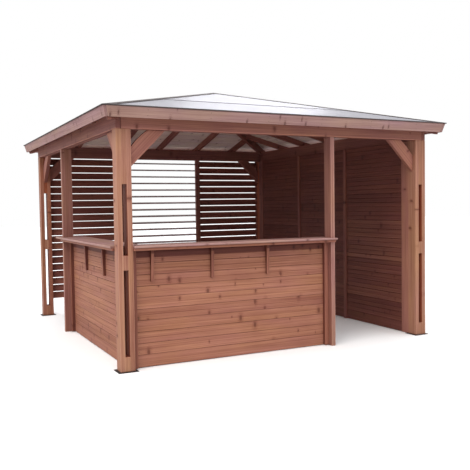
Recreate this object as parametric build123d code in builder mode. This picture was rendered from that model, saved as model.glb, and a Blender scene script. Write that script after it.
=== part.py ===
from build123d import *
from math import cos, radians, sin, sqrt, tan
import os

# A timber pool shelter with a bar: four slotted corner posts, a beam ring, a hipped roof on rafters,
# a boarded right side, a louvred back, and half-height bar walls on the front and the left.
# Millimetres. The origin is on the ground under the middle of the plan, the front looks along -Y.
os.makedirs("parts", exist_ok=True)

# Plan and main heights
frame_width = 3500.0
frame_depth = 3700.0
beam_underside = 2150.0
beam_height = 145.0

# Corner posts: two boards with blocks between them
board_thickness = 45.0
post_depth = 120.0
slot_width = 45.0
foot_block_height = 135.0
middle_block_bottom = 905.0
middle_block_height = 130.0
head_block_height = 485.0
foot_plate_thickness = 5.0
foot_plate_margin = 25.0

# Beams: two boards side by side, the outer one of each side running through to the corner
leaf_thickness = 45.0

# Knee braces, square to the post and the beam, with a bowed outer edge
brace_leg = 340.0
brace_width = 120.0
brace_bow = 10.0

# Roof
eave_overhang = 155.0
birdsmouth_depth = 21.0
roof_pitch = 14.8
roofing_thickness = 8.0
roofing_lip = 8.0
deck_thickness = 18.0
fascia_thickness = 28.0
fascia_height = 98.0
rafter_width = 45.0
rafter_height = 70.0
rafter_spacing = 600.0
hip_rafter_height = 112.0
ridge_block_half = 80.0
ridge_block_chamfer = 40.0
ridge_block_drop = 35.0

# Boarded walls
wall_board_thickness = 28.0
wall_ground_gap = 5.0
wall_end_board_width = 115.0
wall_stud_width = 45.0
wall_stud_depth = 100.0
wall_stud_projection = 15.0
wall_board_setback = 5.0

# Bar
bar_run = 2110.0
bar_batten_width = 45.0
bar_batten_projection = 36.0
counter_underside = 1100.0
counter_thickness = 18.0
counter_overhang = 40.0
counter_inner_reach = 140.0
counter_front_end_reach = 10.0
counter_left_end_reach = 190.0
counter_notch_gap = 1.0
rail_thickness = 22.0
rail_height = 25.0
bracket_thickness = 28.0
bracket_reach = 36.0
bracket_drop = 315.0
bracket_nose = 60.0
bracket_tip = 26.0
front_bracket_first = 200.0
front_bracket_pitch = 600.0
front_bracket_count = 3
left_bracket_first = 700.0
left_bracket_pitch = 700.0
left_bracket_count = 2

# Louvred back
louvre_stud_place = 600.0
louvre_stud_width = 64.0
louvre_stile_width = 12.0
louvre_head_gap = 7.0
louvre_foot_clearance = 200.0
louvre_pitch = 96.5
slat_width = 88.0
slat_thickness = 12.0
slat_brace_gap = 2.0
slat_left_angle = 72.0
slat_middle_angle = 9.0
slat_right_angle = 64.0

# Sizes that follow from the ones above
half_x = frame_width / 2
half_y = frame_depth / 2
post_width = 2 * board_thickness + slot_width
inner_x = half_x - post_width
inner_y = half_y - post_depth
beam_top = beam_underside + beam_height
beam_thickness = 2 * leaf_thickness
inner_leaf_middle = beam_thickness - leaf_thickness / 2
eave_x = half_x + eave_overhang
eave_y = half_y + eave_overhang
roof_run = min(eave_x, eave_y)
roof_rise = roof_run * tan(radians(roof_pitch))
slope_length = roof_run / cos(radians(roof_pitch))
deck_underside = roofing_thickness + deck_thickness
rafter_seat = beam_top - birdsmouth_depth + (deck_underside + rafter_height) / cos(radians(roof_pitch))
eave_height = rafter_seat - eave_overhang * tan(radians(roof_pitch))
corner_names = {
    "front_left": (-1, -1),
    "front_right": (1, -1),
    "back_right": (1, 1),
    "back_left": (-1, 1),
}
# Each side by the direction of its eave and its half length and distance out
side_names = {
    "front": (Vector(1, 0, 0), Vector(0, 1, 0), eave_x, eave_y),
    "right": (Vector(0, 1, 0), Vector(-1, 0, 0), eave_y, eave_x),
    "back": (Vector(-1, 0, 0), Vector(0, -1, 0), eave_x, eave_y),
    "left": (Vector(0, -1, 0), Vector(1, 0, 0), eave_y, eave_x),
}


def save(piece, name):
    piece.part.label = name
    export_step(piece.part, f"parts/{name}.step")


def block(x_range, y_range, z_range):
    """A straight piece of timber between two values on each axis, added to the part being built."""
    size = [high - low for low, high in (x_range, y_range, z_range)]
    middle = [(high + low) / 2 for low, high in (x_range, y_range, z_range)]
    with Locations(tuple(middle)):
        Box(*size)


def span(sign, near, far):
    """The range from near to far on one side of the middle, in rising order."""
    return tuple(sorted((sign * near, sign * far)))


# Corner posts
for corner, (sx, sy) in corner_names.items():
    with BuildPart() as post_boards:
        for outer in (half_x, inner_x + board_thickness):
            block(
                span(sx, outer - board_thickness, outer),
                span(sy, inner_y, half_y),
                (foot_plate_thickness, beam_underside),
            )
    save(post_boards, f"post_{corner}")

with BuildPart() as post_blocks:
    for sx, sy in corner_names.values():
        for low, high in (
            (foot_plate_thickness, foot_block_height),
            (middle_block_bottom, middle_block_bottom + middle_block_height),
            (beam_underside - head_block_height, beam_underside),
        ):
            block(
                span(sx, inner_x + board_thickness, half_x - board_thickness),
                span(sy, inner_y, half_y),
                (low, high),
            )
save(post_blocks, "post_blocks")

with BuildPart() as foot_plates:
    with BuildSketch(Plane.XY):
        with GridLocations(2 * half_x - post_width, 2 * half_y - post_depth, 2, 2):
            Rectangle(post_width + 2 * foot_plate_margin, post_depth + 2 * foot_plate_margin)
    extrude(amount=foot_plate_thickness)
save(foot_plates, "foot_plates")

# Beam ring. The side beams' outer leaves run to the corners, the front and back beams fit between them.
for side, sx in (("left", -1), ("right", 1)):
    with BuildPart() as side_beam:
        block(span(sx, half_x - leaf_thickness, half_x), (-half_y, half_y), (beam_underside, beam_top))
        block(
            span(sx, half_x - beam_thickness, half_x - leaf_thickness),
            (-half_y + leaf_thickness, half_y - leaf_thickness),
            (beam_underside, beam_top),
        )
    save(side_beam, f"beam_{side}")

for side, sy in (("front", -1), ("back", 1)):
    with BuildPart() as cross_beam:
        block(
            (-half_x + leaf_thickness, half_x - leaf_thickness),
            span(sy, half_y - leaf_thickness, half_y),
            (beam_underside, beam_top),
        )
        block(
            (-half_x + beam_thickness, half_x - beam_thickness),
            span(sy, half_y - beam_thickness, half_y - leaf_thickness),
            (beam_underside, beam_top),
        )
    save(cross_beam, f"beam_{side}")


def brace(origin, outward):
    """A knee brace in the corner at origin, under the inner leaf, reaching along outward."""
    cut = brace_width * sqrt(2)
    with BuildSketch(Plane(origin=origin, x_dir=outward, z_dir=outward.cross(Vector(0, 0, 1)))) as outline:
        with BuildLine():
            Polyline((brace_leg - cut, 0), (brace_leg, 0), (0, -brace_leg), (0, cut - brace_leg))
            middle = (brace_leg - cut) / 2
            lift = brace_bow / sqrt(2)
            ThreePointArc((0, cut - brace_leg), (middle - lift, lift - middle), (brace_leg - cut, 0))
        make_face()
    extrude(outline.sketch, amount=leaf_thickness / 2, both=True)


# Knee braces, each centred under the inner leaf of its beam
for side, sy in (("front", -1), ("back", 1)):
    with BuildPart() as cross_braces:
        for sx in (-1, 1):
            brace(
                Vector(sx * inner_x, sy * (half_y - inner_leaf_middle), beam_underside),
                Vector(-sx, 0, 0),
            )
    save(cross_braces, f"braces_{side}")

with BuildPart() as left_braces:
    for sy in (-1, 1):
        brace(
            Vector(-half_x + inner_leaf_middle, sy * inner_y, beam_underside),
            Vector(0, -sy, 0),
        )
save(left_braces, "braces_left")


# Roof. Every layer of a slope is a slab with its ends mitred on the hips.
def slope_plane(along, inward, out, shift=0.0):
    """The plane across a slope: x up the slope, y square to it, from the top outer edge of the eave."""
    tilt = radians(roof_pitch)
    uphill = inward * cos(tilt) + Vector(0, 0, sin(tilt))
    eave_middle = inward * -out + Vector(0, 0, eave_height)
    return Plane(origin=eave_middle + along * shift, x_dir=uphill, z_dir=along)


def hip_planes(along, inward, half, out, inset=0.0):
    """The two upright planes through the hips of a side, each facing the middle of its slope."""
    planes = []
    for sign in (-1, 1):
        corner = along * (sign * half) - inward * out
        facing = (along * -sign - inward).normalized()
        planes.append(Plane(origin=corner + facing * inset, z_dir=facing))
    return planes


def slope_slab(side, up_from, up_to, down_from, down_to):
    """A mitred slab of one slope, between two places up the slope and two depths under its top."""
    along, inward, half, out = side_names[side]
    with BuildSketch(slope_plane(along, inward, out)) as section:
        with Locations(((up_from + up_to) / 2, -(down_from + down_to) / 2)):
            Rectangle(up_to - up_from, down_to - down_from)
    extrude(section.sketch, amount=half + 2 * roofing_lip, both=True)
    for mitre in hip_planes(along, inward, half, out):
        split(bisect_by=mitre, keep=Keep.TOP)
    split(bisect_by=Plane(origin=(0, 0, 0), z_dir=inward * -1), keep=Keep.TOP)


for side in side_names:
    past_ridge = slope_length + deck_underside
    with BuildPart() as deck:
        slope_slab(side, fascia_thickness, past_ridge, roofing_thickness, deck_underside)
    save(deck, f"roof_deck_{side}")
    with BuildPart() as roofing:
        slope_slab(side, -roofing_lip, past_ridge, 0, roofing_thickness)
    save(roofing, f"roofing_{side}")


def under_slope(side, depth):
    """The plane at a depth under the top of a slope, facing down into the building."""
    along, inward, half, out = side_names[side]
    top = slope_plane(along, inward, out)
    return Plane(origin=top.origin - top.y_dir * depth, z_dir=top.y_dir * -1)


def fascia_plane(side, depth):
    """The plane at a depth behind a fascia's outer face, facing up the slope."""
    along, inward, half, out = side_names[side]
    top = slope_plane(along, inward, out)
    return Plane(origin=top.origin + top.x_dir * depth, z_dir=top.x_dir)


# Fascias, square to their slopes. The side ones run through, the front and back ones fit between them.
for side, (along, inward, half, out) in side_names.items():
    runs_through = side in ("left", "right")
    with BuildPart() as fascia:
        with BuildSketch(slope_plane(along, inward, out)):
            with Locations((fascia_thickness / 2, -roofing_thickness - fascia_height / 2)):
                Rectangle(fascia_thickness, fascia_height)
        extrude(amount=half, both=True)
        for neighbour in ("front", "back") if runs_through else ("left", "right"):
            split(
                bisect_by=fascia_plane(neighbour, 0 if runs_through else fascia_thickness),
                keep=Keep.TOP,
            )
            split(bisect_by=under_slope(neighbour, roofing_thickness), keep=Keep.TOP)
    save(fascia, f"fascia_{side}")


def beam_seats():
    """Cut away the room that the beam ring takes, so that a rafter sits on it with a birdsmouth."""
    for sy in (-1, 1):
        with Locations((0, sy * (half_y - beam_thickness / 2), beam_underside + beam_height / 2)):
            Box(frame_width, beam_thickness, beam_height, mode=Mode.SUBTRACT)
    for sx in (-1, 1):
        with Locations((sx * (half_x - beam_thickness / 2), 0, beam_underside + beam_height / 2)):
            Box(beam_thickness, frame_depth, beam_height, mode=Mode.SUBTRACT)


for side, (along, inward, half, out) in side_names.items():
    with BuildPart() as rafters:
        for step in (-2, -1, 0, 1, 2):
            middle = ((fascia_thickness + slope_length) / 2, -deck_underside - rafter_height / 2)
            with BuildSketch(slope_plane(along, inward, out, step * rafter_spacing)):
                with Locations(middle):
                    Rectangle(slope_length - fascia_thickness, rafter_height)
            extrude(amount=rafter_width / 2, both=True)
        for mitre in hip_planes(along, inward, half, out, rafter_width / 2):
            split(bisect_by=mitre, keep=Keep.TOP)
        split(
            bisect_by=Plane(origin=inward * -(ridge_block_half + out - roof_run), z_dir=inward * -1),
            keep=Keep.TOP,
        )
        beam_seats()
    save(rafters, f"rafters_{side}")


# Hip rafters, backed to both slopes, from the corner to the chamfered corners of the ridge block
hip_run = roof_run * sqrt(2)
hip_rise = roof_rise / hip_run
hip_drop = deck_underside / cos(radians(roof_pitch)) + hip_rafter_height
block_reach = (2 * ridge_block_half - ridge_block_chamfer) / sqrt(2)
with BuildPart() as hip_rafters:
    for sx, sy in corner_names.values():
        diagonal = Vector(-sx, -sy, 0).normalized()
        eave_corner = Vector(sx * eave_x, sy * eave_y, eave_height)
        with BuildSketch(Plane(origin=eave_corner, x_dir=diagonal, z_dir=diagonal.cross(Vector(0, 0, 1)))):
            with BuildLine():
                top_end = (hip_run - block_reach, (hip_run - block_reach) * hip_rise)
                Polyline((0, 0), top_end, (top_end[0], top_end[1] - hip_drop), (0, -hip_drop), close=True)
            make_face()
        extrude(amount=rafter_width / 2, both=True)
    for side in side_names:
        split(bisect_by=under_slope(side, deck_underside), keep=Keep.TOP)
        split(bisect_by=fascia_plane(side, fascia_thickness), keep=Keep.TOP)
    beam_seats()
save(hip_rafters, "hip_rafters")

with BuildPart() as ridge_block:
    block_top = eave_height + roof_rise
    with BuildSketch(Plane.XY.offset(block_top - hip_drop - ridge_block_drop)):
        Rectangle(
            2 * (eave_x - roof_run + ridge_block_half),
            2 * (eave_y - roof_run + ridge_block_half),
        )
    extrude(amount=hip_drop + ridge_block_drop)
    chamfer(ridge_block.edges().filter_by(Axis.Z), ridge_block_chamfer)
    for side in side_names:
        split(bisect_by=under_slope(side, deck_underside), keep=Keep.TOP)
save(ridge_block, "ridge_block")

# Right side: boards between wide end boards and two studs, from the ground gap to the beam
wall_length = 2 * (inner_y - wall_end_board_width)
wall_bay_count = 3
bay_length = (wall_length - (wall_bay_count - 1) * wall_stud_width) / wall_bay_count
with BuildPart() as right_studs:
    for sy in (-1, 1):
        block(
            (inner_x, inner_x + board_thickness),
            span(sy, inner_y - wall_end_board_width, inner_y),
            (foot_plate_thickness, beam_underside),
        )
        block(
            (inner_x - wall_stud_projection, inner_x - wall_stud_projection + wall_stud_depth),
            span(sy, bay_length / 2, bay_length / 2 + wall_stud_width),
            (0, beam_underside),
        )
save(right_studs, "right_wall_studs")

for place, name in ((-1, "front"), (0, "middle"), (1, "back")):
    with BuildPart() as bay:
        centre = place * (bay_length + wall_stud_width)
        block(
            (inner_x + wall_board_setback, inner_x + wall_board_setback + wall_board_thickness),
            (centre - bay_length / 2, centre + bay_length / 2),
            (wall_ground_gap, beam_underside),
        )
    save(bay, f"right_wall_{name}_bay")

# Bar posts, single boards standing edge on to the two open sides
front_post_near = -inner_x + bar_run
left_post_near = -inner_y + bar_run
with BuildPart() as bar_post_front:
    block((front_post_near, front_post_near + board_thickness), (-half_y, -inner_y), (0, beam_underside))
save(bar_post_front, "bar_post_front")

with BuildPart() as bar_post_left:
    block(
        (-half_x, -half_x + post_depth),
        (left_post_near, left_post_near + board_thickness),
        (0, beam_underside),
    )
save(bar_post_left, "bar_post_left")

# Bar walls, flush with the inner faces of the posts, with an upright batten at each end
with BuildPart() as bar_wall_front:
    block(
        (-inner_x + bar_batten_width, front_post_near - bar_batten_width),
        (-inner_y - wall_board_thickness, -inner_y),
        (wall_ground_gap, counter_underside),
    )
save(bar_wall_front, "bar_wall_front")

with BuildPart() as bar_wall_left:
    block(
        (-inner_x - wall_board_thickness, -inner_x),
        (-inner_y + bar_batten_width, left_post_near - bar_batten_width),
        (wall_ground_gap, counter_underside),
    )
save(bar_wall_left, "bar_wall_left")

batten_thickness = wall_board_thickness + bar_batten_projection
with BuildPart() as bar_battens:
    for x_low in (-inner_x, front_post_near - bar_batten_width):
        block(
            (x_low, x_low + bar_batten_width),
            (-inner_y - batten_thickness, -inner_y),
            (wall_ground_gap, counter_underside),
        )
    for y_low in (-inner_y, left_post_near - bar_batten_width):
        block(
            (-inner_x - batten_thickness, -inner_x),
            (y_low, y_low + bar_batten_width),
            (wall_ground_gap, counter_underside),
        )
save(bar_battens, "bar_wall_battens")

# Counters, mitred together behind the corner post and notched round the bar posts. The left one runs on
# past its bar post.
with BuildPart() as counter_front:
    with BuildSketch(Plane.XY.offset(counter_underside)):
        with BuildLine():
            Polyline(
                (-inner_x, -half_y - counter_overhang),
                (front_post_near + board_thickness + counter_front_end_reach, -half_y - counter_overhang),
                (front_post_near + board_thickness + counter_front_end_reach, -inner_y + counter_inner_reach),
                (-inner_x + counter_inner_reach, -inner_y + counter_inner_reach),
                (-inner_x, -inner_y),
                close=True,
            )
        make_face()
        with Locations((front_post_near + board_thickness / 2, -half_y + post_depth / 2)):
            Rectangle(
                board_thickness + 2 * counter_notch_gap,
                post_depth + 2 * counter_notch_gap,
                mode=Mode.SUBTRACT,
            )
    extrude(amount=counter_thickness)
save(counter_front, "counter_front")

with BuildPart() as counter_left:
    with BuildSketch(Plane.XY.offset(counter_underside)):
        with BuildLine():
            Polyline(
                (-half_x - counter_overhang, -inner_y),
                (-inner_x, -inner_y),
                (-inner_x + counter_inner_reach, -inner_y + counter_inner_reach),
                (-inner_x + counter_inner_reach, left_post_near + board_thickness + counter_left_end_reach),
                (-half_x - counter_overhang, left_post_near + board_thickness + counter_left_end_reach),
                close=True,
            )
        make_face()
        with Locations((-half_x + post_depth / 2, left_post_near + board_thickness / 2)):
            Rectangle(
                post_depth + 2 * counter_notch_gap,
                board_thickness + 2 * counter_notch_gap,
                mode=Mode.SUBTRACT,
            )
    extrude(amount=counter_thickness)
save(counter_left, "counter_left")

with BuildPart() as counter_rails:
    block(
        (-inner_x, front_post_near + board_thickness),
        (-half_y - rail_thickness, -half_y),
        (counter_underside - rail_height, counter_underside),
    )
    block(
        (-half_x - rail_thickness, -half_x),
        (-inner_y, left_post_near + board_thickness),
        (counter_underside - rail_height, counter_underside),
    )
save(counter_rails, "counter_rails")


def bracket(origin, outward, reach):
    """A bracket strip square to a bar wall: upright at its nose, then tapering towards the wall."""
    with BuildSketch(Plane(origin=origin, x_dir=outward, z_dir=outward.cross(Vector(0, 0, 1)))) as outline:
        with BuildLine():
            Polyline(
                (0, 0),
                (reach, 0),
                (reach, -bracket_nose),
                (bracket_tip, -bracket_drop),
                (0, -bracket_drop),
                close=True,
            )
        make_face()
    extrude(outline.sketch, amount=bracket_thickness / 2, both=True)


with BuildPart() as front_brackets:
    for step in range(front_bracket_count):
        x_place = -inner_x + front_bracket_first + step * front_bracket_pitch
        bracket(
            Vector(x_place, -inner_y - wall_board_thickness, counter_underside),
            Vector(0, -1, 0),
            bracket_reach,
        )
save(front_brackets, "counter_brackets_front")

with BuildPart() as left_brackets:
    for step in range(left_bracket_count):
        y_place = -inner_y + left_bracket_first + step * left_bracket_pitch
        bracket(
            Vector(-inner_x - wall_board_thickness, y_place, counter_underside),
            Vector(-1, 0, 0),
            bracket_reach,
        )
save(left_brackets, "counter_brackets_left")

# Louvred back: a stile at each post, two studs, and a bay of slats between each pair
stile_y = (half_y - leaf_thickness, half_y)
with BuildPart() as louvre_stiles:
    for sx in (-1, 1):
        block(
            span(sx, inner_x - louvre_stile_width, inner_x),
            stile_y,
            (foot_plate_thickness, beam_underside),
        )
        block(
            span(sx, louvre_stud_place - louvre_stud_width / 2, louvre_stud_place + louvre_stud_width / 2),
            stile_y,
            (0, beam_underside),
        )
save(louvre_stiles, "louvre_stiles")

side_bay = (louvre_stud_place + louvre_stud_width / 2, inner_x - louvre_stile_width)
middle_bay = louvre_stud_place - louvre_stud_width / 2
shut_angle = radians(min(slat_left_angle, slat_right_angle))
shut_depth = slat_width * cos(shut_angle) + slat_thickness * sin(shut_angle)
slat_y = half_y - leaf_thickness + slat_brace_gap + shut_depth / 2
louvre_top = beam_underside - louvre_head_gap - louvre_pitch / 2
louvre_count = int((louvre_top - louvre_foot_clearance) / louvre_pitch + 0.5)
for name, bay_range, angle in (
    ("left", (-side_bay[1], -side_bay[0]), slat_left_angle),
    ("middle", (-middle_bay, middle_bay), slat_middle_angle),
    ("right", side_bay, slat_right_angle),
):
    with BuildPart() as slats:
        for step in range(louvre_count):
            middle = ((bay_range[0] + bay_range[1]) / 2, slat_y, louvre_top - step * louvre_pitch)
            with Locations(Location(middle, (angle, 0, 0))):
                Box(bay_range[1] - bay_range[0], slat_width, slat_thickness)
    save(slats, f"louvres_{name}_bay")
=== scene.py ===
import math
import random

import bmesh
import bpy
from mathutils import Matrix, Vector
from mathutils.bvhtree import BVHTree


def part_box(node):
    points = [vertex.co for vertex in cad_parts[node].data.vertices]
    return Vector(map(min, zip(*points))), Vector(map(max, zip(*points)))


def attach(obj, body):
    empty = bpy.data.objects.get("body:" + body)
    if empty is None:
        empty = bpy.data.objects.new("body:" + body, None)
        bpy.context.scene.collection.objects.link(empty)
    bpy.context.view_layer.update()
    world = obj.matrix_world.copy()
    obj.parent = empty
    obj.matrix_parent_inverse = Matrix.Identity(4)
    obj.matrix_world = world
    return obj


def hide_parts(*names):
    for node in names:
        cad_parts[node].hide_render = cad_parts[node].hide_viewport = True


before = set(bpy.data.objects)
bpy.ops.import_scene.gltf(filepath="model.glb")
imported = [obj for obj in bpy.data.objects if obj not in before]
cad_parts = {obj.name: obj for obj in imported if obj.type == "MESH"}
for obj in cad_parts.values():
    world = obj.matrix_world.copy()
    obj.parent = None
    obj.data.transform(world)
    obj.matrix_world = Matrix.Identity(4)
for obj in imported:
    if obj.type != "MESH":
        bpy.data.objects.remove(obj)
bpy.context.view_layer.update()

# Pool shelter in stained softwood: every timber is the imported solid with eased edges, and the walls,
# decks and roofing are sawn from their solids into real boards and sheets.
random.seed(7)
mm = 0.001
scene = bpy.context.scene
print("frame loaded:", len(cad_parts), "nodes")


def hexColor(text):
    channels = [int(text[i:i + 2], 16) / 255 for i in (1, 3, 5)]
    linear = [c / 12.92 if c <= 0.04045 else ((c + 0.055) / 1.055) ** 2.4 for c in channels]
    return (*linear, 1.0)


def addNode(tree, kind, settings={}, links={}):
    node = tree.nodes.new(kind)
    for key, value in settings.items():
        if isinstance(key, int) or key in node.inputs:
            node.inputs[key].default_value = value
        else:
            setattr(node, key, value)
    for key, socket in links.items():
        tree.links.new(socket, node.inputs[key])
    return node


def newMaterial(name):
    material = bpy.data.materials.new(name)
    material.use_nodes = True
    material.node_tree.nodes.clear()
    return material, material.node_tree


# Timber materials. The "grain" attribute gives each board its own space in metres: x along the fibres,
# y across the face, z through the thickness. "tone" is one random number a board, "endGrain" marks its
# ends, and "wear" runs from 1 on eased arrises, paler from wear and as a painted highlight, to -1 in joints,
# darker from dirt and as painted shade. A last attribute is 1 where a face sees no sky, and there the
# colour is darkened as painted shade.
softwoodLook = {
    "ringSpacing": 14 * mm,      # real rings are 3 to 5 mm apart, drawn coarser so that they show
    "ringStretch": (0.25, 1, 1),
    "ringPush": 5.0,             # how far a knot bends the rings
    "ringWeight": 0.24,          # weights: how strongly each pattern darkens the stain
    "pithPlace": (0, 0.11, 0.09),
    "fibreWidth": 4 * mm,        # real fibres are far finer, drawn coarser so that they show
    "fibreLength": 240 * mm,
    "fibreWeight": 0.6,
    "streakWidth": 13 * mm,
    "streakLength": 800 * mm,
    "streakWeight": 1.3,
    "bandWidth": 42 * mm,
    "bandLength": 1500 * mm,
    "bandWeight": 0.7,
    "blotchSize": 450 * mm,
    "blotchWeight": 0.5,
    "knotCell": 118 * mm,        # at most one knot in each square of this size
    "knotShare": 0.24,
    "knotRadius": 11 * mm,
    "knotSizes": (0.4, 1.5),
    "knotShape": (0.85, 1.5),    # along and across the board
    "knotCore": (1.6, 0.4),      # in knot radii: where the core begins, and where it is full
    "knotHalo": (3.6, 0.8),
    "knotDepth": 0.8,
    "haloWeight": 0.3,
    "wobbleSize": 26 * mm,
    "wobblePush": (9 * mm, 7 * mm, 0),
    "hueSize": 260 * mm,
    "hueStretch": (0.4, 1.6, 1),
    "hueEdges": (0.35, 0.65),
    "warmTint": "#fffbee",
    "rosyTint": "#faf0fa",
    "toneSpread": 0.34,
    # wear pulls arrises paler (wear and painted highlight) and joints darker (dirt and painted shade)
    "wearAndPaintedLightPull": 0.42,
    "endDepth": 0.55,
    "ringRelief": 0.35,
    "bumpStrength": 0.35,
    "bumpHeight": 0.8 * mm,
    "roughness": (0.54, 0.72),
    # painted shade: faces that see little sky are multiplied by this tint
    "paintedShadeTint": "#bcaaad",
    "paintedShadeFrom": 0.3,             # how far the sky is blocked where the painted shade begins, and where it is full
    "paintedShadeFull": 0.75,
}


# Gives planed softwood under a stain: rings and fibres along each board, dark knots through it,
# arrises paler from wear and as painted highlight, joints darker from dirt and as painted shade,
# thirsty end grain, painted shade on faces that see little sky, and the low sheen of a thin coat
def stainedSoftwood(name, light, dark, knot="#66382b", look=softwoodLook):
    material, tree = newMaterial(name)
    grain = addNode(tree, "ShaderNodeAttribute", {"attribute_name": "grain"}).outputs["Vector"]
    tone = addNode(tree, "ShaderNodeAttribute", {"attribute_name": "tone"}).outputs["Fac"]
    endGrain = addNode(tree, "ShaderNodeAttribute", {"attribute_name": "endGrain"}).outputs["Fac"]
    # wear: arrises paler from wear and as painted highlight, joints darker from dirt and as painted shade
    wear = addNode(tree, "ShaderNodeAttribute", {"attribute_name": "wear"}).outputs["Fac"]
    # share of painted shade, from how little sky each face sees
    paintedSkyShade = addNode(tree, "ShaderNodeAttribute", {"attribute_name": "paintedSkyShade"}).outputs["Fac"]

    # knots: some cells of a flat voronoi pattern hold one, and it runs straight through the board
    wobble = addNode(tree, "ShaderNodeTexNoise", {"Scale": 1 / look["wobbleSize"], "Detail": 1.0},
                     {"Vector": grain})
    pushed = addNode(tree, "ShaderNodeVectorMath", {"operation": "MULTIPLY_ADD", 1: look["wobblePush"]},
                     {0: wobble.outputs["Color"], 2: grain})
    along, across = look["knotShape"]
    knotSpace = addNode(tree, "ShaderNodeMapping", {"Scale": (1 / along, 1 / across, 1)},
                        {"Vector": pushed.outputs["Vector"]})
    knotCells = addNode(tree, "ShaderNodeTexVoronoi", {
        "voronoi_dimensions": "2D", "Scale": 1 / look["knotCell"],
    }, {"Vector": knotSpace.outputs["Vector"]})
    cellPick = addNode(tree, "ShaderNodeSeparateColor", {}, {"Color": knotCells.outputs["Color"]})
    hasKnot = addNode(tree, "ShaderNodeMath", {"operation": "LESS_THAN", 1: look["knotShare"]},
                      {0: cellPick.outputs["Red"]})
    smallest, largest = look["knotSizes"]
    knotSize = addNode(tree, "ShaderNodeMapRange", {"To Min": smallest, "To Max": largest},
                       {"Value": cellPick.outputs["Green"]})
    reach = addNode(tree, "ShaderNodeMath", {"operation": "DIVIDE"},
                    {0: knotCells.outputs["Distance"], 1: knotSize.outputs["Result"]})
    knotReach = look["knotRadius"] / look["knotCell"]
    masks = {}
    for part, (outer, inner) in (("core", look["knotCore"]), ("halo", look["knotHalo"])):
        soft = addNode(tree, "ShaderNodeMapRange", {
            "interpolation_type": "SMOOTHSTEP", "From Min": knotReach * outer, "From Max": knotReach * inner,
        }, {"Value": reach.outputs["Value"]})
        masks[part] = addNode(tree, "ShaderNodeMath", {"operation": "MULTIPLY"},
                              {0: soft.outputs["Result"], 1: hasKnot.outputs["Value"]}).outputs["Value"]

    # growth rings bend round the knots. At scale 1 the wave node's rings lie 2 pi / 20 apart.
    ringSpace = addNode(tree, "ShaderNodeMapping", {
        "Location": look["pithPlace"], "Scale": look["ringStretch"],
    }, {"Vector": grain})
    ringPush = addNode(tree, "ShaderNodeMath", {"operation": "MULTIPLY", 1: look["ringPush"]},
                       {0: masks["halo"]})
    rings = addNode(tree, "ShaderNodeTexWave", {
        "wave_type": "RINGS", "rings_direction": "X", "wave_profile": "SAW",
        "Scale": 2 * math.pi / (20 * look["ringSpacing"]),
        "Distortion": 3.0, "Detail": 2.0, "Detail Scale": 0.35, "Detail Roughness": 0.55,
    }, {"Vector": ringSpace.outputs["Vector"], "Phase Offset": ringPush.outputs["Value"]})
    lengthwise = {}
    for part in ("fibre", "streak", "band"):
        width, length = look[part + "Width"], look[part + "Length"]
        space = addNode(tree, "ShaderNodeMapping", {"Scale": (1 / length, 1 / width, 1 / width)},
                        {"Vector": grain})
        noise = addNode(tree, "ShaderNodeTexNoise", {"Scale": 1.0, "Detail": 3.0, "Roughness": 0.55},
                        {"Vector": space.outputs["Vector"]})
        lengthwise[part] = noise.outputs["Fac"]
    position = addNode(tree, "ShaderNodeTexCoord").outputs["Object"]
    blotches = addNode(tree, "ShaderNodeTexNoise", {"Scale": 1 / look["blotchSize"], "Detail": 3.0},
                       {"Vector": position})

    # share of the darker colour: noises pull it both ways from one half, each by its weight and its mean
    half = 0.5
    weights = (
        (rings.outputs["Fac"], look["ringWeight"], half),
        (lengthwise["fibre"], look["fibreWeight"], half),
        (lengthwise["streak"], look["streakWeight"], half),
        (lengthwise["band"], look["bandWeight"], half),
        (blotches.outputs["Fac"], look["blotchWeight"], half),
        (tone, look["toneSpread"], 0.0),
        (masks["halo"], look["haloWeight"], 0.0),
        # wear: arrises paler from wear and as painted highlight, joints darker from dirt and as painted shade
        (wear, -look["wearAndPaintedLightPull"], 0.0),
    )
    share = None
    for source, weight, mean in weights:
        begun = {2: share.outputs["Value"]} if share else {}
        share = addNode(tree, "ShaderNodeMath", {"operation": "MULTIPLY_ADD", 1: weight},
                        {0: source, **begun})
        if not begun:
            share.inputs[2].default_value = half - sum(weight * mean for source, weight, mean in weights)
    held = addNode(tree, "ShaderNodeClamp", {}, {"Value": share.outputs["Value"]})
    timber = addNode(tree, "ShaderNodeMix", {"data_type": "RGBA", 6: hexColor(light), 7: hexColor(dark)},
                     {0: held.outputs["Result"]})
    hueSpace = addNode(tree, "ShaderNodeMapping", {"Scale": look["hueStretch"]}, {"Vector": grain})
    hue = addNode(tree, "ShaderNodeTexNoise", {"Scale": 1 / look["hueSize"], "Detail": 3.0},
                  {"Vector": hueSpace.outputs["Vector"]})
    warmEdge, rosyEdge = look["hueEdges"]
    hueShare = addNode(tree, "ShaderNodeMapRange", {"From Min": warmEdge, "From Max": rosyEdge},
                       {"Value": hue.outputs["Fac"]})
    hueTint = addNode(tree, "ShaderNodeMix", {
        "data_type": "RGBA", 6: hexColor(look["warmTint"]), 7: hexColor(look["rosyTint"]),
    }, {0: hueShare.outputs["Result"]})
    timber = addNode(tree, "ShaderNodeMix", {"data_type": "RGBA", "blend_type": "MULTIPLY", 0: 1.0},
                     {6: timber.outputs[2], 7: hueTint.outputs[2]})
    core = addNode(tree, "ShaderNodeMath", {"operation": "MULTIPLY", 1: look["knotDepth"]},
                   {0: masks["core"]})
    knotted = addNode(tree, "ShaderNodeMix", {"data_type": "RGBA", 7: hexColor(knot)},
                      {0: core.outputs["Value"], 6: timber.outputs[2]})
    endShade = addNode(tree, "ShaderNodeMath", {"operation": "MULTIPLY", 1: look["endDepth"]},
                       {0: endGrain})
    finished = addNode(tree, "ShaderNodeMix", {"data_type": "RGBA", 7: hexColor(dark)},
                       {0: endShade.outputs["Value"], 6: knotted.outputs[2]})

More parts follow.
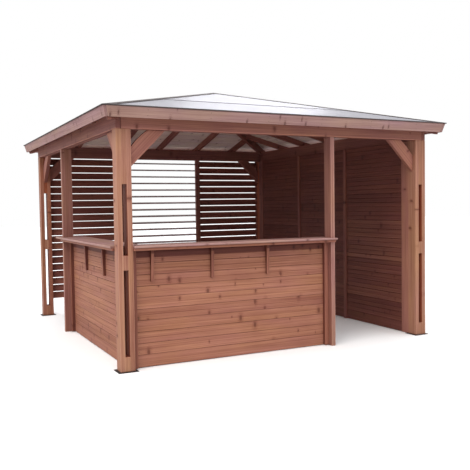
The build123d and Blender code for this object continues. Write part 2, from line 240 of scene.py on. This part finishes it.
    # painted shade: faces that see little sky are multiplied by a darker tint
    depth = addNode(tree, "ShaderNodeMapRange", {
        "interpolation_type": "SMOOTHSTEP", "From Min": look["paintedShadeFrom"], "From Max": look["paintedShadeFull"],
    }, {"Value": paintedSkyShade})
    finished = addNode(tree, "ShaderNodeMix", {
        "data_type": "RGBA", "blend_type": "MULTIPLY", 7: hexColor(look["paintedShadeTint"]),
    }, {0: depth.outputs["Result"], 6: finished.outputs[2]})

    height = addNode(tree, "ShaderNodeMath", {"operation": "MULTIPLY_ADD", 1: look["ringRelief"]},
                     {0: rings.outputs["Fac"], 2: lengthwise["fibre"]})
    bump = addNode(tree, "ShaderNodeBump", {"Strength": look["bumpStrength"], "Distance": look["bumpHeight"]},
                   {"Height": height.outputs["Value"]})
    smoothest, roughest = look["roughness"]
    rough = addNode(tree, "ShaderNodeMapRange", {"To Min": smoothest, "To Max": roughest},
                    {"Value": lengthwise["fibre"]})
    shader = addNode(tree, "ShaderNodeBsdfPrincipled", {"IOR": 1.45, "Specular IOR Level": 0.35}, {
        "Base Color": finished.outputs[2],
        "Roughness": rough.outputs["Result"],
        "Normal": bump.outputs["Normal"],
    })
    addNode(tree, "ShaderNodeOutputMaterial", {}, {"Surface": shader.outputs["BSDF"]})
    return material


# In each timber below, the tint given for faces that see little sky is painted shade
# Post boards: the palest, most orange timber
postTimber = stainedSoftwood("stainedPostTimber", "#b7896f", "#865440",
                             look=dict(softwoodLook, knotShare=0.14, paintedShadeTint="#e4b09a"))
# Bar posts: paler and pinker than the corner posts
barPostTimber = stainedSoftwood("stainedBarPosts", "#bd9384", "#8c6052",
                                look=dict(softwoodLook, knotShare=0.14, paintedShadeTint="#dccdcb"))
# Braces, studs and rafters: the same stain, a little redder
braceTimber = stainedSoftwood("stainedBraceTimber", "#b9836e", "#84524a",
                              look=dict(softwoodLook, knotShare=0.18, paintedShadeTint="#c6b6b9"))
# Beams: as the braces, but the painted shade darkens only the faces inside the roof, which see almost no sky
beamTimber = stainedSoftwood("stainedBeamTimber", "#ab7765", "#794a43",
                             look=dict(softwoodLook, knotShare=0.18, paintedShadeTint="#cdbfc4",
                                       paintedShadeFrom=0.8, paintedShadeFull=1.0))
# Bar battens, brackets and rails: thin stock that took more stain
trimTimber = stainedSoftwood("stainedTrimTimber", "#a8725c", "#713f32")
# Tongued boards of the bar and the right side: red brown, knotty, with painted shade that begins early,
# so that the boards under the counter and inside the shelter are darker
boardTimber = stainedSoftwood("stainedWallBoards", "#b98369", "#875341",
                              look=dict(softwoodLook, paintedShadeTint="#a2858c", paintedShadeFrom=0.2, paintedShadeFull=0.6))
# Fascias and counters: weathered towards pink grey. Spike knots cross the narrow fascias.
fasciaTimber = stainedSoftwood("weatheredFasciaTimber", "#b79791", "#8b6a65", knot="#5a3a33",
                               look=dict(softwoodLook, knotShape=(0.5, 1.4), knotShare=0.3,
                                         toneSpread=0.2))
counterTimber = stainedSoftwood("weatheredCounterTimber", "#b8958c", "#8b6862", knot="#5a3a33",
                                look=dict(softwoodLook, knotShare=0.12, toneSpread=0.2, paintedShadeTint="#e6dcda"))
# Louvre slats: thin sawn boards
slatTimber = stainedSoftwood("stainedSlats", "#b47964", "#7a473a", look=dict(softwoodLook, knotShare=0.1))
# Deck boards seen from below: thin clear coat over pale wood
deckTimber = stainedSoftwood("paleDeckBoards", "#ead9d3", "#bda49c", knot="#7d5c4e",
                             look=dict(softwoodLook, paintedShadeTint="#ffffff"))


# Gives granule-faced roofing felt: grey, finely speckled, with a soft sheen at a low angle
def mineralFelt():
    settings = {
        "light": "#95949b",
        "dark": "#797880",
        "granule": 3 * mm,       # real granules are about 1 mm, drawn coarser so that they show
        "granuleWeight": 0.5,
        "stain": 700 * mm,
        "lighten": 0.3,
        "bumpStrength": 0.3,
        "bumpHeight": 0.4 * mm,
        "roughness": 0.45,
    }
    material, tree = newMaterial("mineralRoofingFelt")
    position = addNode(tree, "ShaderNodeTexCoord").outputs["Object"]
    granules = addNode(tree, "ShaderNodeTexNoise", {"Scale": 1 / settings["granule"], "Detail": 2.0},
                       {"Vector": position})
    stains = addNode(tree, "ShaderNodeTexNoise", {"Scale": 1 / settings["stain"], "Detail": 4.0},
                     {"Vector": position})
    share = addNode(tree, "ShaderNodeMath", {"operation": "MULTIPLY_ADD", 1: settings["granuleWeight"]},
                    {0: granules.outputs["Fac"], 2: stains.outputs["Fac"]})
    centred = addNode(tree, "ShaderNodeMath", {
        "operation": "SUBTRACT", 1: settings["lighten"], "use_clamp": True,
    }, {0: share.outputs["Value"]})
    color = addNode(tree, "ShaderNodeMix", {
        "data_type": "RGBA", 6: hexColor(settings["light"]), 7: hexColor(settings["dark"]),
    }, {0: centred.outputs["Value"]})
    bump = addNode(tree, "ShaderNodeBump", {
        "Strength": settings["bumpStrength"], "Distance": settings["bumpHeight"],
    }, {"Height": granules.outputs["Fac"]})
    shader = addNode(tree, "ShaderNodeBsdfPrincipled", {"IOR": 1.5, "Roughness": settings["roughness"]},
                     {"Base Color": color.outputs[2], "Normal": bump.outputs["Normal"]})
    addNode(tree, "ShaderNodeOutputMaterial", {}, {"Surface": shader.outputs["BSDF"]})
    return material


# Gives the cut edge of the felt: matt black brown
def bitumenEdge():
    settings = {"dark": "#3b3434", "dusty": "#564d4c", "speckle": 6 * mm, "roughness": 0.8}
    material, tree = newMaterial("bitumenFeltEdge")
    position = addNode(tree, "ShaderNodeTexCoord").outputs["Object"]
    speckle = addNode(tree, "ShaderNodeTexNoise", {"Scale": 1 / settings["speckle"], "Detail": 3.0},
                      {"Vector": position})
    color = addNode(tree, "ShaderNodeMix", {
        "data_type": "RGBA", 6: hexColor(settings["dark"]), 7: hexColor(settings["dusty"]),
    }, {0: speckle.outputs["Fac"]})
    shader = addNode(tree, "ShaderNodeBsdfPrincipled", {"Roughness": settings["roughness"]},
                     {"Base Color": color.outputs[2]})
    addNode(tree, "ShaderNodeOutputMaterial", {}, {"Surface": shader.outputs["BSDF"]})
    return material


# Gives dark paint on hot rolled plate, rubbed and rusting a little
def paintedSteel():
    settings = {"paint": "#2a2626", "rust": "#6b4a3a", "patch": 30 * mm, "rustEdges": (0.55, 0.7),
                "roughness": 0.55, "metallic": 0.2}
    material, tree = newMaterial("darkPaintedSteel")
    position = addNode(tree, "ShaderNodeTexCoord").outputs["Object"]
    wear = addNode(tree, "ShaderNodeTexNoise", {
        "Scale": 1 / settings["patch"], "Detail": 5.0, "Roughness": 0.7,
    }, {"Vector": position})
    rustFrom, rustFull = settings["rustEdges"]
    rust = addNode(tree, "ShaderNodeMapRange", {"From Min": rustFrom, "From Max": rustFull},
                   {"Value": wear.outputs["Fac"]})
    color = addNode(tree, "ShaderNodeMix", {
        "data_type": "RGBA", 6: hexColor(settings["paint"]), 7: hexColor(settings["rust"]),
    }, {0: rust.outputs["Result"]})
    shader = addNode(tree, "ShaderNodeBsdfPrincipled", {
        "Roughness": settings["roughness"], "Metallic": settings["metallic"],
    }, {"Base Color": color.outputs[2]})
    addNode(tree, "ShaderNodeOutputMaterial", {}, {"Surface": shader.outputs["BSDF"]})
    return material


# Gives the passivated heads of countersunk screws: dull yellow grey metal
def zincScrew():
    settings = {"metal": "#6f6552", "dulling": 4 * mm, "roughness": (0.35, 0.6)}
    material, tree = newMaterial("passivatedScrew")
    position = addNode(tree, "ShaderNodeTexCoord").outputs["Object"]
    dull = addNode(tree, "ShaderNodeTexNoise", {"Scale": 1 / settings["dulling"], "Detail": 2.0},
                   {"Vector": position})
    smoothest, roughest = settings["roughness"]
    rough = addNode(tree, "ShaderNodeMapRange", {"To Min": smoothest, "To Max": roughest},
                    {"Value": dull.outputs["Fac"]})
    shader = addNode(tree, "ShaderNodeBsdfPrincipled", {
        "Base Color": hexColor(settings["metal"]), "Metallic": 1.0,
    }, {"Roughness": rough.outputs["Result"]})
    addNode(tree, "ShaderNodeOutputMaterial", {}, {"Surface": shader.outputs["BSDF"]})
    return material


roofingFelt = mineralFelt()
feltEdge = bitumenEdge()
plateSteel = paintedSteel()
screwMetal = zincScrew()
print("materials made:", len(bpy.data.materials))


# Painted shade: rays over the sky against all the imported solids tell how much sky each face sees
paintedShadeSettings = {
    "rays": 40,
    "lift": 8 * mm,              # rays start this far off the face
    "openShare": 0.8,            # seeing this share of the sky already leaves no painted shade
    "largeFace": 0.004,          # above this area, in square metres, more places are tried
    "morePlaces": 3,
    "towardsCorner": 0.7,
    "leastSky": 0.1,             # for faces that look down
}


def skyRays(count):
    goldenTurn = math.pi * (3 - math.sqrt(5))
    rays = []
    for step in range(count):
        height = (step + 0.5) / count
        flat = math.sqrt(1 - height * height)
        turn = step * goldenTurn
        rays.append(Vector((flat * math.cos(turn), flat * math.sin(turn), height)))
    return rays


def allSolids():
    bm = bmesh.new()
    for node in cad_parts.values():
        bm.from_mesh(node.data)
    tree = BVHTree.FromBMesh(bm)
    bm.free()
    return tree


sky = skyRays(paintedShadeSettings["rays"])
solids = allSolids()


# Marks the painted shade of each face: 0 where it sees the sky that its tilt allows, 1 where it sees none
def markPaintedSkyShade(bm):
    paintedSkyShade = bm.faces.layers.float.new("paintedSkyShade")
    count = paintedShadeSettings["morePlaces"]
    for face in bm.faces:
        middle = face.calc_center_median()
        places = [middle]
        if face.calc_area() > paintedShadeSettings["largeFace"]:
            corners = [vert.co for vert in face.verts]
            chosen = corners[::max(1, len(corners) // count)][:count]
            places += [middle.lerp(corner, paintedShadeSettings["towardsCorner"]) for corner in chosen]
        possible = [(ray, ray.dot(face.normal)) for ray in sky if ray.dot(face.normal) > 0]
        whole = sum(weight for ray, weight in possible) * len(places)
        seen = sum(weight for place in places for ray, weight in possible
                   if solids.ray_cast(place + face.normal * paintedShadeSettings["lift"], ray)[0] is None)
        least = paintedShadeSettings["leastSky"] * len(sky) * len(places)
        face[paintedSkyShade] = 1 - min(1, seen / max(whole, least) / paintedShadeSettings["openShare"])


# Shaping. A CAD node's mesh is copied, merged and cleaned, so that its edges can be eased.
def solidOf(nodeName):
    bm = bmesh.new()
    bm.from_mesh(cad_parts[nodeName].data)
    bmesh.ops.remove_doubles(bm, verts=bm.verts, dist=0.01 * mm)
    bmesh.ops.dissolve_limit(bm, angle_limit=math.radians(0.5), verts=bm.verts, edges=bm.edges)
    bm.faces.layers.float.new("wear")
    return bm


def islandsOf(bm):
    left = set(bm.verts)
    while left:
        island = {left.pop()}
        front = list(island)
        while front:
            for edge in front.pop().link_edges:
                for vert in edge.verts:
                    if vert in left:
                        left.remove(vert)
                        island.add(vert)
                        front.append(vert)
        yield island


def middleOf(verts):
    return sum((vert.co for vert in verts), Vector()) / len(verts)


# Gives every board its own grain space, its tone and its end grain, from its longest edge. Boards are
# taken in order of place, so that each run draws the same numbers for them.
grainSettings = {
    "shift": (40, 0.4, 0.03),    # metres along, across and through, so that no two boards match
    "tone": 0.5,
    "sideLimit": 0.3,            # cosines that tell a board's sides and ends apart
    "endLimit": 0.8,
}


def markGrain(bm):
    bm.verts.index_update()
    bm.edges.index_update()
    bm.faces.index_update()
    bm.normal_update()
    grain = bm.verts.layers.float_vector.new("grain")
    tone = bm.verts.layers.float.new("tone")
    endGrain = bm.faces.layers.float.new("endGrain")
    islands = [sorted(island, key=lambda v: v.index) for island in islandsOf(bm)]
    islands.sort(key=lambda island: tuple(round(c, 4) for c in middleOf(island)))
    for island in islands:
        edges = {edge for vert in island for edge in vert.link_edges}
        longest = max(edges, key=lambda e: (round(e.calc_length(), 5), e.index))
        along = (longest.verts[1].co - longest.verts[0].co).normalized()
        faces = {face for vert in island for face in vert.link_faces}
        sides = [face for face in faces if abs(face.normal.dot(along)) < grainSettings["sideLimit"]]
        widest = max(sides, key=lambda f: (round(f.calc_area(), 6), f.index))
        through = (widest.normal - along * widest.normal.dot(along)).normalized()
        across = through.cross(along)
        middle = middleOf(island)
        shift = Vector([random.uniform(-most, most) for most in grainSettings["shift"]])
        boardTone = random.uniform(-grainSettings["tone"], grainSettings["tone"])
        for vert in island:
            local = vert.co - middle
            vert[grain] = Vector((local.dot(along), local.dot(across), local.dot(through))) + shift
            vert[tone] = boardTone
        for face in faces:
            face[endGrain] = 1.0 if abs(face.normal.dot(along)) > grainSettings["endLimit"] else 0.0


# Bevels the sharp edges. The bevel faces take the given wear value: above 0 they are paler, from wear and as
# painted highlight, below 0 darker, from dirt and as painted shade.
def easeEdges(bm, radius, segments=2, sharper=20, edgeWearAndPaintedLight=1.0):
    wear = bm.faces.layers.float["wear"]
    sharp = [edge for edge in bm.edges
             if len(edge.link_faces) == 2 and edge.calc_face_angle(0) > math.radians(sharper)]
    eased = bmesh.ops.bevel(bm, geom=sharp, offset=radius, offset_type="OFFSET", affect="EDGES",
                            segments=segments, profile=0.5, material=-1, clamp_overlap=True)
    for face in eased["faces"]:
        face[wear] = edgeWearAndPaintedLight


def planeCut(bm, point, normal, clear):
    geometry = bm.verts[:] + bm.edges[:] + bm.faces[:]
    return bmesh.ops.bisect_plane(bm, geom=geometry, dist=1e-6, plane_co=point, plane_no=normal,
                                  clear_outer=clear)


# Keeps what lies between two planes square to normal, and closes the cuts
def sawSlice(bm, normal, low, high):
    for place, direction in ((low, normal), (high, -normal)):
        if place is None:
            continue
        cut = planeCut(bm, normal * place, -direction, True)
        rim = [item for item in cut["geom_cut"] if isinstance(item, bmesh.types.BMEdge)]
        if rim:
            bmesh.ops.holes_fill(bm, edges=rim, sides=0)


def addBmesh(target, part):
    mesh = bpy.data.meshes.new("part")
    part.to_mesh(mesh)
    part.free()
    target.from_mesh(mesh)
    bpy.data.meshes.remove(mesh)


def finishPiece(bm, name, materials, nodes=()):
    mesh = bpy.data.meshes.new(name)
    bm.normal_update()
    markPaintedSkyShade(bm)
    bm.to_mesh(mesh)
    bm.free()
    piece = bpy.data.objects.new(name, mesh)
    scene.collection.objects.link(piece)
    for material in materials:
        mesh.materials.append(material)
    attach(piece, "root")
    if nodes:
        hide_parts(*nodes)


def easedTimber(nodeName, name, material, radius=3 * mm):
    bm = solidOf(nodeName)
    bm.faces.index_update()
    easeEdges(bm, radius)
    markGrain(bm)
    finishPiece(bm, name, [material], [nodeName])


# Runs a V groove along both faces of a board, halfway up it, and darkens the groove's faces, from dirt
# and as painted shade
def grooveBoard(bm, normal, place, through, groove):
    width, depth = groove
    near = 0.01 * mm
    facing = 0.3
    for offset in (-width / 2, 0, width / 2):
        planeCut(bm, normal * (place + offset), normal, False)
    ends = [v.co.dot(through) for v in bm.verts]
    for end, inwards in ((min(ends), through), (max(ends), -through)):
        bottom = [v for v in bm.verts
                  if abs(v.co.dot(normal) - place) < near and abs(v.co.dot(through) - end) < near]
        bmesh.ops.translate(bm, verts=bottom, vec=inwards * depth)
    dirtAndPaintedShade = bm.faces.layers.float["wear"]
    for face in bm.faces:
        inGroove = abs(face.calc_center_median().dot(normal) - place) < width / 2
        if inGroove and abs(face.normal.dot(through)) > facing:
            face[dirtAndPaintedShade] = -1.0


# A node sawn into boards at the given places along normal, with a joint between them. A tongue, given
# as its direction through the boards and its thickness, closes each joint behind, and is coloured fully
# dark, from dirt and as painted shade in the joint.
def sawnTimber(nodeName, name, normal, cuts, material, joint, radius,
               edgeWearAndPaintedLight=1.0, tongue=None, groove=None):
    whole = bmesh.new()
    edges = [None, *sorted(cuts), None]
    for low, high in zip(edges, edges[1:]):
        bm = solidOf(nodeName)
        start = None if low is None else low + joint / 2
        stop = None if high is None else high - joint / 2
        sawSlice(bm, normal, start, stop)
        if bm.verts:
            bmesh.ops.dissolve_limit(bm, angle_limit=math.radians(0.5), verts=bm.verts, edges=bm.edges)
            easeEdges(bm, radius, edgeWearAndPaintedLight=edgeWearAndPaintedLight)
            if groove and low is not None and high is not None:
                grooveBoard(bm, normal, (low + high) / 2, tongue[0], groove)
        addBmesh(whole, bm)
    if tongue:
        through, thickness = tongue
        ends = sorted(corner.dot(through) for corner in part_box(nodeName))
        for cut in cuts:
            bm = solidOf(nodeName)
            sawSlice(bm, normal, cut - joint, cut + joint)
            sawSlice(bm, through, (sum(ends) - thickness) / 2, (sum(ends) + thickness) / 2)
            dirtAndPaintedShade = bm.faces.layers.float["wear"]
            for face in bm.faces:
                face[dirtAndPaintedShade] = -1.0
            addBmesh(whole, bm)
    markGrain(whole)
    finishPiece(whole, name, [material], [nodeName])


# Places of the joints between boards, a pitch apart
def boardJoints(first, last, pitch):
    joints = []
    while first < last:
        joints.append(first)
        first += pitch
    return joints


# Frame timbers, one eased piece a node
frameTimbers = {
    "stained posts": (postTimber, ["post_front_left", "post_front_right", "post_back_right", "post_back_left",
                                   "post_blocks"]),
    "bar posts": (barPostTimber, ["bar_post_front", "bar_post_left"]),
    "stained braces": (braceTimber, ["braces_front", "braces_back", "braces_left", "right_wall_studs",
                                    "louvre_stiles"]),
    "stained trim": (trimTimber, ["counter_rails", "counter_brackets_front", "counter_brackets_left"]),
    "rafters": (braceTimber, ["rafters_front", "rafters_right", "rafters_back", "rafters_left", "hip_rafters",
                             "ridge_block"]),
}


def camel(nodeName):
    first, *rest = nodeName.split("_")
    return first + "".join(word.capitalize() for word in rest)


for group, (material, nodeNames) in frameTimbers.items():
    for nodeName in nodeNames:
        easedTimber(nodeName, camel(nodeName), material)
    print(group, "done:", len(nodeNames))

# The two battens in the bar's corner meet along one edge, so they are parted there
battenSettings = {"joint": 1 * mm, "radius": 3 * mm}
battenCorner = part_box("bar_wall_left")[1].x
sawnTimber("bar_wall_battens", "barWallBattens", Vector((1, 0, 0)), [battenCorner], trimTimber,
           battenSettings["joint"], battenSettings["radius"])

# Beams are two boards side by side, so each is sawn apart between its leaves
beamSettings = {"leaf": 45 * mm, "joint": 1 * mm, "radius": 6 * mm}
for side, normal in (("front", Vector((0, -1, 0))), ("back", Vector((0, 1, 0))),
                     ("left", Vector((-1, 0, 0))), ("right", Vector((1, 0, 0)))):
    low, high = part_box(f"beam_{side}")
    outer = max(low.dot(normal), high.dot(normal))
    sawnTimber(f"beam_{side}", f"beam{side.capitalize()}", normal, [outer - beamSettings["leaf"]],
               beamTimber, beamSettings["joint"], beamSettings["radius"])
print("beams done")

# Wall boards: tongued boards with a V joint between them and a V groove along their middle; their eased
# edges are a little darker, from dirt and as painted shade
wallSettings = {"pitch": 104.5 * mm, "firstJoint": 118 * mm, "lastBoard": 40 * mm, "joint": 2 * mm,
                "radius": 2.5 * mm, "tongue": 9 * mm, "groove": (4 * mm, 2 * mm), "edgeWearAndPaintedLight": -0.2}
wallNodes = {"bar_wall_front": Vector((0, 1, 0)), "bar_wall_left": Vector((1, 0, 0)),
             "right_wall_front_bay": Vector((1, 0, 0)), "right_wall_middle_bay": Vector((1, 0, 0)),
             "right_wall_back_bay": Vector((1, 0, 0))}
for nodeName, through in wallNodes.items():
    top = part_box(nodeName)[1].z - wallSettings["lastBoard"]
    cuts = boardJoints(wallSettings["firstJoint"], top, wallSettings["pitch"])
    sawnTimber(nodeName, camel(nodeName), Vector((0, 0, 1)), cuts, boardTimber,
               wallSettings["joint"], wallSettings["radius"], edgeWearAndPaintedLight=wallSettings["edgeWearAndPaintedLight"],
               tongue=(through, wallSettings["tongue"]), groove=wallSettings["groove"])
print("wall boards done")

# Louvre slats, counters and fascias
easeSettings = {"slat": 0.8 * mm, "counter": 4 * mm, "fascia": 5 * mm}
counters = ("counter_front", "counter_left")
for nodeName in ("louvres_left_bay", "louvres_middle_bay", "louvres_right_bay"):
    easedTimber(nodeName, camel(nodeName), slatTimber, easeSettings["slat"])
for nodeName in counters:
    easedTimber(nodeName, camel(nodeName), counterTimber, easeSettings["counter"])
for side in ("front", "right", "back", "left"):
    easedTimber(f"fascia_{side}", f"fascia{side.capitalize()}", fasciaTimber,
                easeSettings["fascia"])
print("slats, counters and fascias done")

# Roof: each slope rises from its eave, and its boards and sheets run along the eave
inward = {"front": Vector((0, 1, 0)), "right": Vector((-1, 0, 0)), "back": Vector((0, -1, 0)),
          "left": Vector((1, 0, 0))}
roofSettings = {
    "boardPitch": 120 * mm,
    "lastBoard": 40 * mm,
    "joint": 1.5 * mm,
    "radius": 3 * mm,
    # deck board edges a little darker, from dirt and as painted shade
    "edgeWearAndPaintedLight": -0.4,
    "lap": 770 * mm,             # up the slope, from the eave to the upper course
    "lapStep": 3 * mm,
    "capWidth": 60 * mm,
    "capDepth": 5.5 * mm,
    "drip": 22 * mm,
}


def slopeAxes(side):
    bm = solidOf(f"roofing_{side}")
    bm.normal_update()
    top = max((face for face in bm.faces if face.normal.z > 0.5), key=lambda f: f.calc_area())
    up = top.normal.copy()
    bm.free()
    return up, (inward[side] - up * inward[side].dot(up)).normalized()


def placesAlong(nodeName, axis):
    return [v.co.dot(axis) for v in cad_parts[nodeName].data.vertices]


for side in inward:
    up, uphill = slopeAxes(side)
    deckName = f"roof_deck_{side}"
    reach = placesAlong(deckName, uphill)
    cuts = boardJoints(min(reach) + roofSettings["boardPitch"], max(reach) - roofSettings["lastBoard"],
                       roofSettings["boardPitch"])
    sawnTimber(deckName, camel(deckName), uphill, cuts, deckTimber, roofSettings["joint"],
               roofSettings["radius"], edgeWearAndPaintedLight=roofSettings["edgeWearAndPaintedLight"])
print("roof boards done")


# Two lapped courses of felt, the lower one a step deeper, between dark strips folded over the eave, the
# hips and the ridge
def roofingSheets(side):
    nodeName = f"roofing_{side}"
    up, uphill = slopeAxes(side)
    eave = min(placesAlong(nodeName, uphill))
    topPlace = max(placesAlong(nodeName, up))
    dripPlace = eave + roofSettings["drip"]
    lapPlace = eave + roofSettings["lap"]
    flat, level, inwards = 0.99, 0.05, 0.5     # cosines that pick out the top and the hip and ridge faces
    whole = bmesh.new()
    for low, high, steps in ((dripPlace, lapPlace, 2), (lapPlace, None, 1)):
        bm = solidOf(nodeName)
        sawSlice(bm, uphill, low, high)
        sawSlice(bm, up, None, topPlace - roofSettings["lapStep"] * steps)
        for face in bm.faces:
            face.material_index = 0 if face.normal.dot(up) > flat else 1
        addBmesh(whole, bm)
    bm = solidOf(nodeName)
    bm.normal_update()
    folds = [(face.normal.copy(), face.calc_center_median().dot(face.normal)) for face in bm.faces
             if abs(face.normal.z) < level and face.normal.dot(inward[side]) > inwards]
    bm.free()
    strips = [(outward, place - roofSettings["capWidth"], topPlace - roofSettings["capDepth"])
              for outward, place in folds]
    strips.append((-uphill, -dripPlace, None))
    for outward, place, bottom in strips:
        bm = solidOf(nodeName)
        sawSlice(bm, outward, place, None)
        if bottom is not None:
            sawSlice(bm, up, bottom, None)
        for face in bm.faces:
            face.material_index = 1
        addBmesh(whole, bm)
    finishPiece(whole, f"roofing{side.capitalize()}", [roofingFelt, feltEdge], [nodeName])


for side in inward:
    roofingSheets(side)
print("roofing done")

# Foot plates, with a small flat on each edge
plateSettings = {"radius": 1 * mm, "segments": 1}
plates = solidOf("foot_plates")
easeEdges(plates, plateSettings["radius"], plateSettings["segments"])
finishPiece(plates, "footPlates", [plateSteel], ["foot_plates"])


# Screw heads stand half a millimetre proud. Fascias and counters have a pair every 600 mm, and every wall
# board has one at each end, inside and out.
screwSettings = {
    "radius": 4.5 * mm,
    "taper": 0.7,
    "height": 1 * mm,
    "sides": 8,
    "pitch": 600 * mm,
    "endInset": 150 * mm,
    "spread": 0.5,
    "boardInset": 24 * mm,
    "boardPlace": 0.25,          # in board pitches, above the joint
}


def addScrew(bm, place, outward):
    turn = outward.to_track_quat("Z", "Y").to_matrix().to_4x4()
    radius = screwSettings["radius"]
    bmesh.ops.create_cone(bm, cap_ends=True, segments=screwSettings["sides"], radius1=radius,
                          radius2=radius * screwSettings["taper"], depth=screwSettings["height"],
                          matrix=Matrix.Translation(place) @ turn)


def screwPairs(bm, nodeName, outward):
    source = solidOf(nodeName)
    source.normal_update()
    face = max((f for f in source.faces if f.normal.dot(outward) > 0.7), key=lambda f: f.calc_area())
    edge = max(face.edges, key=lambda e: e.calc_length())
    along = (edge.verts[1].co - edge.verts[0].co).normalized()
    across = face.normal.cross(along)
    middle = face.calc_center_median()
    length, width = (max(abs((v.co - middle).dot(axis)) for v in face.verts) for axis in (along, across))
    count = int(2 * (length - screwSettings["endInset"]) / screwSettings["pitch"]) + 1
    for step in range(count):
        offset = along * ((step - (count - 1) / 2) * screwSettings["pitch"])
        for side in (-1, 1):
            addScrew(bm, middle + offset + across * side * width * screwSettings["spread"], face.normal)
    source.free()


def boardScrews(bm, nodeName, through):
    low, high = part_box(nodeName)
    along = Vector((0, 0, 1)).cross(through)
    first = wallSettings["firstJoint"] + wallSettings["pitch"] * screwSettings["boardPlace"]
    towardsHigh = 1 if low.dot(along) < high.dot(along) else -1
    inset = screwSettings["boardInset"] * towardsHigh
    for height in boardJoints(first, high.z - wallSettings["lastBoard"], wallSettings["pitch"]):
        for end in (low.dot(along) + inset, high.dot(along) - inset):
            for face, outward in ((low, -through), (high, through)):
                place = along * end + through * face.dot(through) + Vector((0, 0, height))
                addScrew(bm, place, outward)


screws = bmesh.new()
for side, direction in inward.items():
    screwPairs(screws, f"fascia_{side}", -direction)
for nodeName in counters:
    screwPairs(screws, nodeName, Vector((0, 0, 1)))
for nodeName, through in wallNodes.items():
    boardScrews(screws, nodeName, through)
finishPiece(screws, "screwHeads", [screwMetal])
print("screws done")


# Stage
def makeStage():
    settings = {"size": 90.0, "seen": "#f7f7f6", "bounced": "#cccac8"}
    bm = bmesh.new()
    bmesh.ops.create_grid(bm, x_segments=1, y_segments=1, size=settings["size"] / 2)
    mesh = bpy.data.meshes.new("floor")
    bm.to_mesh(mesh)
    bm.free()
    floor = bpy.data.objects.new("floor", mesh)
    scene.collection.objects.link(floor)
    material, tree = newMaterial("paleFloor")
    path = addNode(tree, "ShaderNodeLightPath")
    color = addNode(tree, "ShaderNodeMix", {
        "data_type": "RGBA", 6: hexColor(settings["bounced"]), 7: hexColor(settings["seen"]),
    }, {0: path.outputs["Is Camera Ray"]})
    shader = addNode(tree, "ShaderNodeBsdfPrincipled", {"Roughness": 0.9, "Specular IOR Level": 0.1},
                     {"Base Color": color.outputs[2]})
    addNode(tree, "ShaderNodeOutputMaterial", {}, {"Surface": shader.outputs["BSDF"]})
    mesh.materials.append(material)


# A dome that grows brighter towards the top, white where the camera or a reflection looks straight at it
def makeWorld():
    settings = {"horizon": 0.5, "zenith": 2.3, "fillColor": "#f4f5f8", "seen": 1.0}
    world = bpy.data.worlds.new("softDome")
    scene.world = world
    world.use_nodes = True
    tree = world.node_tree
    tree.nodes.clear()
    direction = addNode(tree, "ShaderNodeTexCoord").outputs["Generated"]
    axes = addNode(tree, "ShaderNodeSeparateXYZ", {}, {"Vector": direction})
    level = addNode(tree, "ShaderNodeMapRange", {"To Min": settings["horizon"], "To Max": settings["zenith"]},
                    {"Value": axes.outputs["Z"]})
    path = addNode(tree, "ShaderNodeLightPath")
    seen = addNode(tree, "ShaderNodeMath", {"operation": "MAXIMUM"},
                   {0: path.outputs["Is Camera Ray"], 1: path.outputs["Is Glossy Ray"]})
    seen = addNode(tree, "ShaderNodeMath", {"operation": "MAXIMUM"},
                   {0: seen.outputs["Value"], 1: path.outputs["Is Transmission Ray"]})
    fill = addNode(tree, "ShaderNodeBackground", {"Color": hexColor(settings["fillColor"])},
                   {"Strength": level.outputs["Result"]})
    white = addNode(tree, "ShaderNodeBackground", {"Color": (1, 1, 1, 1), "Strength": settings["seen"]})
    both = addNode(tree, "ShaderNodeMixShader", {}, {0: seen.outputs["Value"], 1: fill.outputs["Background"],
                                                     2: white.outputs["Background"]})
    addNode(tree, "ShaderNodeOutputWorld", {}, {"Surface": both.outputs["Shader"]})


# A large soft key over the front left corner, and a low panel far behind whose glare runs down the roof
def makeLamps():
    lamps = {
        "softKey": {"place": (-7.5, -6.0, 12.0), "aim": (0, 0, 1.2), "size": (7.0, 7.0), "power": 700,
                    "color": "#fff8f0"},
        "roofGlare": {"place": (6.5, 10.4, 6.9), "aim": (0, -1.3, 2.6), "size": (4.4, 2.6), "power": 320,
                      "color": "#f6f6ff"},
    }
    for name, lamp in lamps.items():
        light = bpy.data.lights.new(name, "AREA")
        light.shape = "RECTANGLE"
        light.size, light.size_y = lamp["size"]
        light.energy = lamp["power"]
        light.color = hexColor(lamp["color"])[:3]
        holder = bpy.data.objects.new(name, light)
        holder.visible_camera = False
        holder.location = lamp["place"]
        aim = Vector(lamp["aim"]) - Vector(lamp["place"])
        holder.rotation_euler = aim.to_track_quat("-Z", "Y").to_euler()
        scene.collection.objects.link(holder)


# The viewing angle of the photo, worked out from the posts, eaves and counter
def makeCamera():
    settings = {"place": (-3.4246, -7.5, 1.4658), "azimuth": 26.5033, "pitch": 2.5574, "roll": -0.8304,
                "focal": 664.64 / 470, "sensor": 36.0}     # focal is in picture widths
    azimuth, pitch, roll = (math.radians(settings[key]) for key in ("azimuth", "pitch", "roll"))
    forward = Vector((math.sin(azimuth) * math.cos(pitch), math.cos(azimuth) * math.cos(pitch),
                      -math.sin(pitch)))
    right = Vector((math.cos(azimuth), -math.sin(azimuth), 0))
    up = right.cross(forward)
    right, up = (right * math.cos(roll) + up * math.sin(roll), up * math.cos(roll) - right * math.sin(roll))
    data = bpy.data.cameras.new("photoCamera")
    data.sensor_fit = "HORIZONTAL"
    data.sensor_width = settings["sensor"]
    data.lens = settings["focal"] * settings["sensor"]
    camera = bpy.data.objects.new("photoCamera", data)
    turn = Matrix((right, up, -forward)).transposed().to_4x4()
    camera.matrix_world = Matrix.Translation(settings["place"]) @ turn
    scene.collection.objects.link(camera)
    scene.camera = camera


makeStage()
makeWorld()
makeLamps()
makeCamera()
scene.view_settings.view_transform = "Standard"
print("stage, lamps and camera done")
